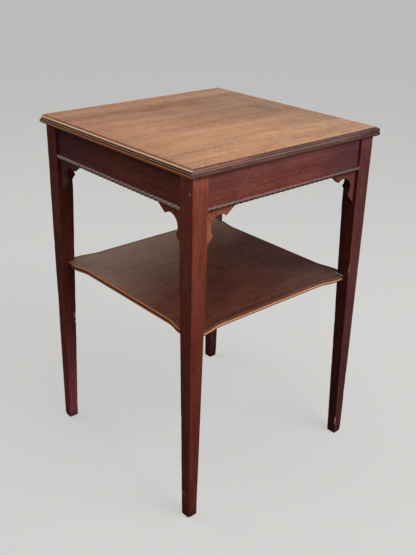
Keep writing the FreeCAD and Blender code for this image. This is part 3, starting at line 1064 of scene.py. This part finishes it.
def bead_tree():
    """Half-round bead carved as a rope, turned to its side of the table and set on its apron."""
    rings, section_points = 720, 17
    sizes = ("Length", "Height", "Depth", "Strands", "Start", "Slant", "Cut", "Crest Cut", "Proud", "Waver",
             "Film", "Soil", "Seed")
    tree, bench, given = geometry_tree("Rope-carved bead", sizes, {"Turn": "Rotation", "Place": "Vector"})
    half = given["Length"] * 0.5
    rise = given["Height"] * 0.5
    ends = {"Start": bench.join(half * -1.0), "End": bench.join(half)}
    line = bench.lay("GeometryNodeCurvePrimitiveLine", ends)
    sockets = {
        "Resolution": section_points,
        "Start": bench.join(y=rise * -1.0),
        "Middle": bench.join(x=given["Depth"]),
        "End": bench.join(y=rise),
    }
    arc = bench.lay("GeometryNodeCurveArc", sockets, "Curve", mode="POINTS")
    section = bench.lay("GeometryNodeSetSplineCyclic", {"Geometry": arc, "Cyclic": True})
    geometry = bench.swept(line, rings, section)

    # Slanting cuts part the strands
    place = bench.lay("GeometryNodeInputPosition")
    x, y, z = bench.split(place)
    level = z / given["Height"]
    strand = x * given["Strands"] / given["Length"] + given["Start"] - level * given["Slant"]
    swell = abs(bench.calc("SINE", strand * math.pi))
    hollow = 1.0 - swell
    hollow = hollow * hollow

    # The crest is a little uneven and rubbed bare in the middle; grey film with painted highlights lies on
    # the crest, and grime with painted shade in the cuts and along the foot
    crest = bench.calc("DIVIDE", y * -1.0, given["Depth"], clamp=True)
    patch = bench.shift(bench.stretch(place, (30.0, 90.0, 90.0)), bench.join(given["Seed"]))
    dip = crest * bench.clouds(patch, detail=3.0) * given["Waver"]
    along = abs(x)
    dull_and_highlight = bench.ramp(along, 0.06, 0.17, 0.4, 1.0) * given["Film"] * bench.ramp(swell, 0.05, 0.35, 0.75, 1.0)
    soiled_and_shaded = bench.ramp(crest, 0.35, 0.0, given["Soil"], 0.9)
    for dirt in (
        bench.ramp(level, 0.15, -0.15, 0.0, 3.2) * given["Soil"],
        bench.ramp(swell, 0.30, 0.05, 0.0, 0.25),
        bench.ramp(level, -0.22, -0.45, 0.0, 0.75),
    ):
        soiled_and_shaded = bench.calc("MAXIMUM", soiled_and_shaded, dirt)
    bare = crest * bench.ramp(along, 0.15, 0.05, 0.0, 0.1)
    geometry = bench.store(geometry, {"bare": bare, "film": crest * dull_and_highlight, "grime": soiled_and_shaded})
    drawn_in = given["Crest Cut"] / given["Depth"] * hollow
    drawn_up = (given["Cut"] * hollow - given["Proud"]) / rise
    carved = bench.shaped(geometry, bench.join(x, y * (1.0 - drawn_in) + dip, z * (1.0 - drawn_up)))
    sockets = {"Geometry": carved, "Translation": given["Place"], "Rotation": given["Turn"]}
    end_tree(bench, bench.lay("GeometryNodeTransform", sockets), given)
    return tree


# Screws

def screw_tree():
    """Slotted screw with a tapered head, put on each point with its shank along the point's aim."""
    sizes = ("Head Radius", "Head Height", "Shank Radius", "Shank Length", "Slot Width", "Slot Depth")
    head_sides, shank_sides, head_taper = 28, 20, 0.86
    tree, bench, given = geometry_tree("Slotted screw", sizes)
    below = bench.join(z=given["Head Height"] * -1.0)
    sockets = {
        "Vertices": head_sides,
        "Radius Bottom": given["Head Radius"] * head_taper,
        "Radius Top": given["Head Radius"],
        "Depth": given["Head Height"],
    }
    head = bench.moved(bench.lay("GeometryNodeMeshCone", sockets, "Mesh"), below)
    slot_size = bench.join(given["Head Radius"] * 3.0, given["Slot Width"], given["Slot Depth"] * 2.0)
    slot = bench.moved(bench.lay("GeometryNodeMeshCube", {"Size": slot_size}, "Mesh"), below)
    sockets = {"Mesh 1": head, "Mesh 2": slot}
    head = bench.lay("GeometryNodeMeshBoolean", sockets, "Mesh", operation="DIFFERENCE", solver="EXACT")
    sockets = {"Vertices": shank_sides, "Radius": given["Shank Radius"], "Depth": given["Shank Length"]}
    shank = bench.lay("GeometryNodeMeshCylinder", sockets, "Mesh")
    shank = bench.moved(shank, bench.join(z=given["Shank Length"] * 0.5))
    screw = bench.add("GeometryNodeJoinGeometry", {0: head})
    bench.feed(screw.inputs[0], shank)
    aim = bench.lay("GeometryNodeInputNamedAttribute", {"Name": "aim"}, "Attribute", data_type="FLOAT_VECTOR")
    turn = bench.lay("FunctionNodeAlignRotationToVector", {"Vector": aim}, axis="Z")
    sockets = {"Points": given["Points"], "Instance": bench.wires(screw)["Geometry"], "Rotation": turn}
    end_tree(bench, bench.lay("GeometryNodeInstanceOnPoints", sockets), given)
    return tree


def screw_points(screw):
    """Seats of the screws under the top, two on each side, with the direction of each shank."""
    middle = (apron_low.x + apron_high.x) / 2
    along = leg_low.x - screw.from_leg
    aim = Vector((0.0, -math.sin(screw.lean), math.cos(screw.lean)))
    seats, aims = [], []
    for quarter in range(4):
        turn = quarter_turned(quarter)
        for end in (-1, 1):
            seats.append(turn @ (Vector((end * along, -middle, top_low.z)) - aim * screw.seat))
            aims.append(turn @ aim)
    points = mesh_from("screw_seats", seats, [])
    layer = points.attributes.new("aim", "FLOAT_VECTOR", "POINT")
    for point, shank in zip(layer.data, aims):
        point.vector = shank
    return points


# Shelf

def shelf_outline(shelf):
    """Points along the shelf's front edge from leg to leg: place across, place out, and slope."""
    side_steps, ogee_steps, ear_steps = 40, 22, 6
    nudge = 1e-5
    leg_side = leg_high.x - leg_width_at(shelf_high.z)
    core = leg_side + shelf.housing
    ear = shelf_high.y
    side = leg_high.x - shelf.side_inset
    start = leg_side - shelf.ear_length
    finish = start - shelf.ogee_length
    rise = ear - side
    radius = (shelf.ogee_length ** 2 + rise ** 2) / (4 * rise)

    def out(across):
        run = start - abs(across)
        if run <= 0:
            return ear
        if run >= shelf.ogee_length:
            return side
        if run <= shelf.ogee_length / 2:
            return ear - radius + math.sqrt(radius ** 2 - run ** 2)
        rest = shelf.ogee_length - run
        return side + radius - math.sqrt(radius ** 2 - rest ** 2)

    half = [finish * step / side_steps for step in range(side_steps)]
    half += [finish + shelf.ogee_length * step / ogee_steps for step in range(ogee_steps)]
    half += [start + (core - start) * step / ear_steps for step in range(ear_steps + 1)]
    places = [-place for place in reversed(half[1:])] + half
    slopes = [(out(place + nudge) - out(place - nudge)) / (2 * nudge) for place in places]
    return [(place, out(place), slope) for place, slope in zip(places, slopes)], core


def reed_profile(shelf):
    """The shelf's edge from the underside to the upper face: (inset, height, reed, climb).

    The climb goes from -1 at the foot of a reed through 0 at its crest to 1 at its head.
    """
    deep = shelf.reed_round
    steps = 8
    flat_insets = (deep + 0.0015, deep + 0.0085)
    reed = (shelf_high.z - shelf_low.z) / 2
    rows = [(inset, shelf_low.z, "lower", -1.0) for inset in reversed(flat_insets)]
    for layer, name in enumerate(REED_BARE_AND_LIT):
        base = shelf_low.z + layer * reed
        turns = [QUARTER_TURN * step / steps for step in range(steps + 1)]
        for turn in turns[layer:]:
            inset, climb = deep * (1 - math.sin(turn)), -math.cos(turn)
            rows.append((inset, base + deep * (1 + climb), name, climb))
        for turn in turns:
            inset, climb = deep * (1 - math.cos(turn)), math.sin(turn)
            rows.append((inset, base + reed - deep * (1 - climb), name, climb))
    return rows + [(inset, shelf_high.z, "upper", 1.0) for inset in flat_insets]


def reed_wear_and_light(reed, climb, quarter, across):
    """How a reed of the shelf's edge is coloured, by wear and dirt and by painted light, highlights and
    shade, in the order of the attribute names.
    """
    on_side = quarter % 2
    crest = math.sqrt(max(0.0, 1 - climb * climb))
    from_leg = clamped((0.190 - abs(across)) / 0.025)
    bare = REED_BARE_AND_LIT[reed][on_side] * from_leg * clamped((crest - 0.2) / 0.4)
    if reed == "upper":
        bare *= clamped((0.8 - climb) / 0.3)
    worn = 1.2 * crest if on_side and reed == "lower" else 0.1 * crest
    film = 0.0
    if reed == "lower" and on_side:
        grime = max(0.9 * clamped((0.25 - climb) / 0.35), 0.2 * clamped((climb - 0.7) / 0.3))
    elif reed == "lower":
        grime = clamped((climb - 0.25) / 0.3) if climb > 0 else 0.15 * clamped(-climb)
    elif climb < 0:
        grime = (0.2 if on_side else 1.0) * clamped((-climb - 0.25) / 0.3)
    elif quarter in (2, 3):
        grime = 0.5 * clamped((climb - 0.2) / 0.4)
    else:
        grime = 0.25 * clamped((climb - 0.8) / 0.2) if on_side else 0.0
        film = 0.35 * crest * (1 - crest) if on_side else 0.0
    if reed == "upper" and on_side:
        film += 0.30 * clamped((0.3 - climb) / 0.5)
    pale = {("upper", 0): 0.15, ("lower", 1): 0.25}.get((reed, on_side), 0.0) * from_leg * clamped(crest)
    return worn, bare, film, grime, 0.0, pale


def shelf_mesh(shelf):
    """Square shelf with flared corners let into the legs and two reeds along each edge."""
    outline, core = shelf_outline(shelf)
    profile = reed_profile(shelf)
    edge_width = shelf.reed_round + 0.005
    rows, count = len(profile), len(outline)
    points, colourings, faces = [], [], []
    for quarter in range(4):
        turn = quarter_turned(quarter)
        first = len(points)
        for inset, height, reed, climb in profile:
            for across, out, slope in outline:
                inward = Vector((slope, 1.0, 0.0)).normalized()
                points.append(turn @ (Vector((across, -out, height)) + inward * inset))
                colourings.append(reed_wear_and_light(reed, climb, quarter, across) if inset < edge_width else UNMARKED)
        faces += [tuple(first + corner for corner in face) for face in ring_faces(rows, count, False)]
    notches = len(points)
    for quarter in range(4):
        for height in (shelf_low.z, shelf_high.z):
            points.append(quarter_turned(quarter) @ Vector((core, -core, height)))
            colourings.append(UNMARKED)

    def row(quarter, number):
        first = (quarter * rows + number) * count
        return list(range(first, first + count))

    def column(quarter, number):
        return [(quarter * rows + step) * count + number for step in range(rows)]

    upper, lower = [], []
    for quarter in range(4):
        low = notches + 2 * quarter
        high = low + 1
        faces.append(tuple(column(quarter, count - 1) + [high, low]))
        faces.append(tuple(column((quarter + 1) % 4, 0) + [high, low]))
        upper += row(quarter, rows - 1) + [high]
        lower += row(quarter, 0) + [low]
    faces += [tuple(upper), tuple(lower)]
    mesh = mesh_from("shelf_finished", points, faces)
    add_wear_and_light(mesh, colourings)
    outward(mesh)
    return mesh


# Boards taken over from the construction

def cad_copy(node, arris, chosen, longest=None):
    """A merged copy of a node's mesh, with the chosen sharp edges rounded, and those edges' ends."""
    work = bmesh.new()
    work.from_mesh(frame["nodes"][node].data)
    bmesh.ops.remove_doubles(work, verts=work.verts, dist=WELD)
    bmesh.ops.dissolve_limit(
        work, angle_limit=SAME_PLANE, verts=work.verts, edges=work.edges, delimit={"NORMAL"}
    )
    sharp = [
        edge for edge in work.edges
        if len(edge.link_faces) == 2 and edge.calc_face_angle() > SMOOTH_ANGLE and chosen(edge)
    ]
    lines = [tuple(vertex.co.copy() for vertex in edge.verts) for edge in sharp]
    bmesh.ops.bevel(
        work, geom=sharp, offset=arris, offset_type="OFFSET", segments=3, profile=0.5,
        affect="EDGES", clamp_overlap=True,
    )
    if longest:
        subdivide(work, longest)
    mesh = bpy.data.meshes.new(node + "_finished")
    work.to_mesh(mesh)
    work.free()
    return mesh, lines


def subdivide(work, longest):
    """Cuts long edges until none is longer than asked, so that wear can follow the edges."""
    bmesh.ops.triangulate(work, faces=work.faces)
    for _ in range(8):
        long_edges = [edge for edge in work.edges if edge.calc_length() > longest]
        if not long_edges:
            break
        bmesh.ops.subdivide_edges(work, edges=long_edges, cuts=1)
        bmesh.ops.triangulate(work, faces=[face for face in work.faces if len(face.verts) > 3])


def nearness(mesh, lines, reach):
    """How near each point lies to the given lines: 1 on one, 0 at the reach or beyond."""
    spacing = 0.001
    spots = []
    for start, end in lines:
        steps = max(1, round((end - start).length / spacing))
        spots += [start.lerp(end, step / steps) for step in range(steps + 1)]
    tree = KDTree(len(spots))
    for index, spot in enumerate(spots):
        tree.insert(spot, index)
    tree.balance()
    return [max(0.0, 1 - tree.find(vertex.co)[2] / reach) for vertex in mesh.vertices]


# Stage

def make_floor(stage):
    """Pale floor that the lamps shade only a little where the camera sees it."""
    size = 40.0
    points = [(-size, -size, 0), (size, -size, 0), (size, size, 0), (-size, size, 0)]
    mesh = mesh_from("floor", points, [(0, 1, 2, 3)])
    material, bench = new_material("pale_floor")
    seen = bench.lay("ShaderNodeLightPath", None, "Is Camera Ray")
    tint = bench.blend(seen, opaque(stage.floor_bounce), opaque(stage.floor_seen))
    sockets = {"Base Color": tint, "Roughness": 0.9, "Specular IOR Level": 0.1}
    shader = bench.lay("ShaderNodeBsdfPrincipled", sockets)
    pale = bench.lay("ShaderNodeEmission", {"Color": opaque(stage.floor_seen), "Strength": 1.0})
    mixed = bench.lay("ShaderNodeMixShader", {0: seen * stage.floor_even, 1: shader, 2: pale})
    bench.add("ShaderNodeOutputMaterial", {"Surface": mixed})
    mesh.materials.append(material)
    in_scene("floor", mesh)


def make_world(stage):
    """Even light all round, as pale as the floor where it is seen."""
    world = bpy.data.worlds.new("studio")
    world.use_nodes = True
    world.node_tree.nodes.clear()
    bench = Bench(world.node_tree)
    path = bench.wires(bench.add("ShaderNodeLightPath"))
    shown = bench.calc("MAXIMUM", path["Is Camera Ray"], path["Is Glossy Ray"])
    shown = bench.calc("MAXIMUM", shown, path["Is Transmission Ray"])
    strength = bench.ramp(shown, 0.0, 1.0, stage.ambient, 1.0)
    back = bench.lay("ShaderNodeBackground", {"Color": opaque(stage.floor_seen), "Strength": strength})
    bench.add("ShaderNodeOutputWorld", {"Surface": back})
    bpy.context.scene.world = world


def direction(turn, height):
    """Direction from the table, turned from the front towards the right and raised from level."""
    return Vector((math.sin(turn) * math.cos(height), -math.cos(turn) * math.cos(height), math.sin(height)))


def softbox(name, target, power, turn, height, distance, size):
    """Square area lamp that faces the target."""
    back = direction(math.radians(turn), math.radians(height))
    lamp = bpy.data.lights.new(name, "AREA")
    lamp.shape = "SQUARE"
    lamp.size = size
    lamp.energy = power
    box = in_scene(name, lamp)
    box.location = target + back * distance
    box.rotation_euler = (-back).to_track_quat("-Z", "Y").to_euler()


def make_camera(stage):
    turn, roll = stage.camera_turn, stage.camera_roll
    back = direction(turn, stage.camera_height)
    right = Vector((math.cos(turn), math.sin(turn), 0.0))
    up = back.cross(right)
    level_x = right * math.cos(roll) + up * math.sin(roll)
    level_y = up * math.cos(roll) - right * math.sin(roll)
    lens = bpy.data.cameras.new("photo_camera")
    lens.lens = stage.focal_length
    lens.clip_end = 200.0
    camera = in_scene("photo_camera", lens)
    turned = Matrix((level_x, level_y, back)).transposed().to_4x4()
    camera.matrix_world = Matrix.Translation(stage.camera_place) @ turned
    bpy.context.scene.camera = camera
    bpy.context.scene.view_settings.view_transform = "Standard"


# Operators

class TABLE_OT_top(bpy.types.Operator):
    """Make the top with its moulded edge"""

    bl_idname = "occasional_table.top"
    bl_label = "Top"

    def execute(self, context):
        mesh = top_mesh(settings().top)
        add_board(mesh, BACK, RIGHT, GRAIN_NUMBER["top"])
        place_piece("table_top", mesh, top_mahogany())
        return {"FINISHED"}


class TABLE_OT_legs(bpy.types.Operator):
    """Make the tapered legs with rubbed corners and worn feet"""

    bl_idname = "occasional_table.legs"
    bl_label = "Legs"

    def execute(self, context):
        leg = settings().leg
        # Painted shade: towards the front left the legs are darker and more purple
        purple = (0.60, 0.52, 0.66)
        wood = frame_mahogany("leg_mahogany", "leg", 0.36, specular=0.10, left_tint=purple, marks=LEG_MARKS)
        tree = leg_tree()
        values = {
            "Height": leg_high.z,
            "Width": leg_width,
            "Foot Width": leg.foot_width,
            "Taper Top": leg_taper_top(),
            "Foot Round": leg.foot_round,
            "Foot Corner": leg.foot_corner,
            "Arris": leg.arris_round,
            "Wear": leg.arris_wear,
            "Rings": leg.rings,
            "Material": wood,
        }

        # A knock goes into the wood: inwards from an outer face, outwards from an inner one
        into_wood = {0.0: -1.0, 1.0: 1.0}
        for index, (node, (right, back)) in enumerate(LEG_CORNERS.items()):
            values["Corner"] = (right * leg_high.x, back * leg_high.x, 0.0)
            values["Facing"] = (float(right), float(back), 1.0)
            values["Seed"] = 4.7 * index
            values["Inner Shade"], values["Inner Light"] = LEG_INNER.get(node, (0.0, 0.0))
            mesh = grown(node, tree, values)
            for across, through, height, reach, depth in LEG_CHIPS.get(node, ()):
                width = leg_width_at(height)
                x = right * (leg_high.x - across * width)
                y = back * (leg_high.x - through * width)
                push = (right * into_wood.get(across, 0.0), back * into_wood.get(through, 0.0), 0.0)
                chip(mesh, Vector((x, y, height)), reach, depth, Vector(push).normalized())
            outward(mesh)
            add_board(mesh, UP, RIGHT, GRAIN_NUMBER["leg"] + index)
            place_piece(node, mesh, wood)
        return {"FINISHED"}


class TABLE_OT_aprons(bpy.types.Operator):
    """Make the aprons, with the screw pockets in their backs"""

    bl_idname = "occasional_table.aprons"
    bl_label = "Aprons"

    def execute(self, context):
        wood = frame_mahogany("apron_mahogany", "apron", 0.36)
        arris = settings().frame.board_arris
        for index, side in enumerate(SIDES):
            node = "apron_" + side
            mesh, _ = cad_copy(node, arris, lambda edge: edge.calc_length() > apron_length / 2)
            add_board(mesh, along_side(side), UP, GRAIN_NUMBER["apron"] + index)
            place_piece(node, mesh, wood)
        return {"FINISHED"}


class TABLE_OT_beads(bpy.types.Operator):
    """Make the rope-carved beads along the lower edges of the aprons"""

    bl_idname = "occasional_table.beads"
    bl_label = "Beads"

    def execute(self, context):
        wood = frame_mahogany("bead_mahogany", "apron", 0.31, specular=0.42)
        sizes = settings().frame
        tree = bead_tree()
        values = {
            "Length": bead_high.y - bead_low.y,
            "Height": bead_high.z - bead_low.z,
            "Depth": bead_high.x - bead_low.x,
            "Strands": float(sizes.rope_strands),
            "Slant": sizes.rope_slant,
            "Cut": sizes.rope_cut,
            "Crest Cut": sizes.rope_crest_cut,
            "Proud": sizes.rope_proud,
            "Waver": sizes.bead_waver,
            "Material": wood,
        }
        for index, side in enumerate(SIDES):
            node = "bead_" + side
            turn = quarter_turned(index)
            values["Start"] = ROPE_START[side]
            values["Film"], values["Soil"] = BEAD_WEAR_AND_LIGHT[side]
            values["Seed"] = 3.1 * index
            values["Turn"] = (0.0, 0.0, index * QUARTER_TURN)
            values["Place"] = turn @ Vector((0.0, -bead_low.x, (bead_low.z + bead_high.z) / 2))
            mesh = grown(node, tree, values)
            outward(mesh)
            add_board(mesh, turn @ RIGHT, UP, GRAIN_NUMBER["bead"] + index)
            place_piece(node, mesh, wood)
        return {"FINISHED"}


class TABLE_OT_brackets(bpy.types.Operator):
    """Make the fretted brackets in the corners"""

    bl_idname = "occasional_table.brackets"
    bl_label = "Brackets"

    def execute(self, context):
        wear_reach, edge_wear, longest_edge = 0.003, 0.55, 0.004
        wood = frame_mahogany("bracket_mahogany", "bracket", 0.40)
        arris = settings().frame.bracket_arris
        for index, (side, end) in enumerate(SIDE_ENDS):
            node = "bracket_" + side + "_" + end
            low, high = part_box(node)
            thin = 1 if side in ("front", "back") else 0
            wide = 1 - thin

            def sawn_outline(edge):
                first, second = (vertex.co[thin] for vertex in edge.verts)
                on_face = min(abs(first - low[thin]), abs(first - high[thin])) < ON_FACE
                return on_face and abs(first - second) < ON_FACE

            mesh, lines = cad_copy(node, arris, sawn_outline, longest_edge)
            add_value(mesh, "worn", [edge_wear * near for near in nearness(mesh, lines, wear_reach)])
            # Painted shade darkens the faces; grime with painted shade, and grey film as a painted
            # reflection, lie on the sawn edges
            shade, soil_and_shade, film = BRACKET_WEAR_AND_LIGHT.get(node, BRACKET_WEAR_AND_LIGHT["others"])
            add_value(mesh, "shade", [shade] * len(mesh.vertices))
            inside = [min(point.co[thin] - low[thin], high[thin] - point.co[thin]) for point in mesh.vertices]
            sawn = [clamped(deep / arris) for deep in inside]
            add_value(mesh, "grime", [soil_and_shade * part for part in sawn])
            add_value(mesh, "film", [film * part for part in sawn])
            slant = UP.copy()
            slant[wide] = -1 if abs(low[wide]) > abs(high[wide]) else 1
            across = BACK if thin else RIGHT
            add_board(mesh, slant.normalized(), across, GRAIN_NUMBER["bracket"] + index)
            place_piece(node, mesh, wood)
        return {"FINISHED"}


class TABLE_OT_shelf(bpy.types.Operator):
    """Make the shelf with its flared corners and reeded edge"""

    bl_idname = "occasional_table.shelf"
    bl_label = "Shelf"

    def execute(self, context):
        mesh = shelf_mesh(settings().shelf)
        add_board(mesh, BACK, RIGHT, GRAIN_NUMBER["shelf"])
        place_piece("shelf", mesh, shelf_mahogany())
        return {"FINISHED"}


class TABLE_OT_blocks(bpy.types.Operator):
    """Make the softwood glue blocks behind the aprons"""

    bl_idname = "occasional_table.blocks"
    bl_label = "Glue blocks"

    def execute(self, context):
        wood = pine()
        for index, (side, end) in enumerate(SIDE_ENDS):
            node = "glue_block_" + side + "_" + end
            mesh, _ = cad_copy(node, settings().frame.block_arris, lambda edge: True)
            add_board(mesh, along_side(side), UP, GRAIN_NUMBER["block"] + index)
            place_piece(node, mesh, wood)
        return {"FINISHED"}


class TABLE_OT_fasteners(bpy.types.Operator):
    """Make the screws under the top and give the pins their steel"""

    bl_idname = "occasional_table.fasteners"
    bl_label = "Screws and pins"

    def execute(self, context):
        screw = settings().screw
        steel = old_steel("screw_steel")
        values = {
            "Head Radius": screw.head_radius,
            "Head Height": screw.head_height,
            "Shank Radius": screw.shank_radius,
            "Shank Length": screw.seat + screw.bite,
            "Slot Width": screw.slot_width,
            "Slot Depth": screw.slot_depth,
            "Material": steel,
        }
        mesh = grown("top_screws", screw_tree(), values, screw_points(screw))
        place_piece("top_screws", mesh, steel)
        pin_steel = old_steel("pin_steel")
        for node in ("bracket_pins", "bead_pins"):
            for slot in frame["nodes"][node].material_slots:
                slot.material = pin_steel
        return {"FINISHED"}


class TABLE_OT_stage(bpy.types.Operator):
    """Set the floor, the soft lamps and the camera"""

    bl_idname = "occasional_table.stage"
    bl_label = "Stage"

    def execute(self, context):
        stage = settings().stage
        make_floor(stage)
        make_world(stage)
        target = Vector((0, 0, top_high.z * 0.6))
        for name, stand in LAMPS.items():
            softbox(name + "_lamp", target, getattr(stage, name + "_power"), *stand)
        make_camera(stage)
        return {"FINISHED"}


class TABLE_PT_sidebar(bpy.types.Panel):
    """Buttons of the table, in the order in which they are used"""

    bl_label = "Occasional Table"
    bl_idname = "TABLE_PT_sidebar"
    bl_space_type = "VIEW_3D"
    bl_region_type = "UI"
    bl_category = "Table"

    def draw(self, context):
        for operator in OPERATORS:
            self.layout.operator(operator.bl_idname)


OPERATORS = (
    TABLE_OT_top,
    TABLE_OT_legs,
    TABLE_OT_aprons,
    TABLE_OT_beads,
    TABLE_OT_brackets,
    TABLE_OT_shelf,
    TABLE_OT_blocks,
    TABLE_OT_fasteners,
    TABLE_OT_stage,
)
GROUPS = (TopSizes, LegSizes, ShelfSizes, FrameSizes, ScrewSizes, Finishes, StageSettings, TableSettings)
CLASSES = GROUPS + OPERATORS + (TABLE_PT_sidebar,)


def register():
    for each in CLASSES:
        bpy.utils.register_class(each)
    bpy.types.Scene.occasional_table = bpy.props.PointerProperty(type=TableSettings)


def unregister():
    del bpy.types.Scene.occasional_table
    for each in reversed(CLASSES):
        bpy.utils.unregister_class(each)


def main():
    register()
    bpy.ops.occasional_table.top()
    bpy.ops.occasional_table.legs()
    bpy.ops.occasional_table.aprons()
    bpy.ops.occasional_table.beads()
    bpy.ops.occasional_table.brackets()
    bpy.ops.occasional_table.shelf()
    bpy.ops.occasional_table.blocks()
    bpy.ops.occasional_table.fasteners()
    bpy.ops.occasional_table.stage()


if __name__ == "__main__":
    main()
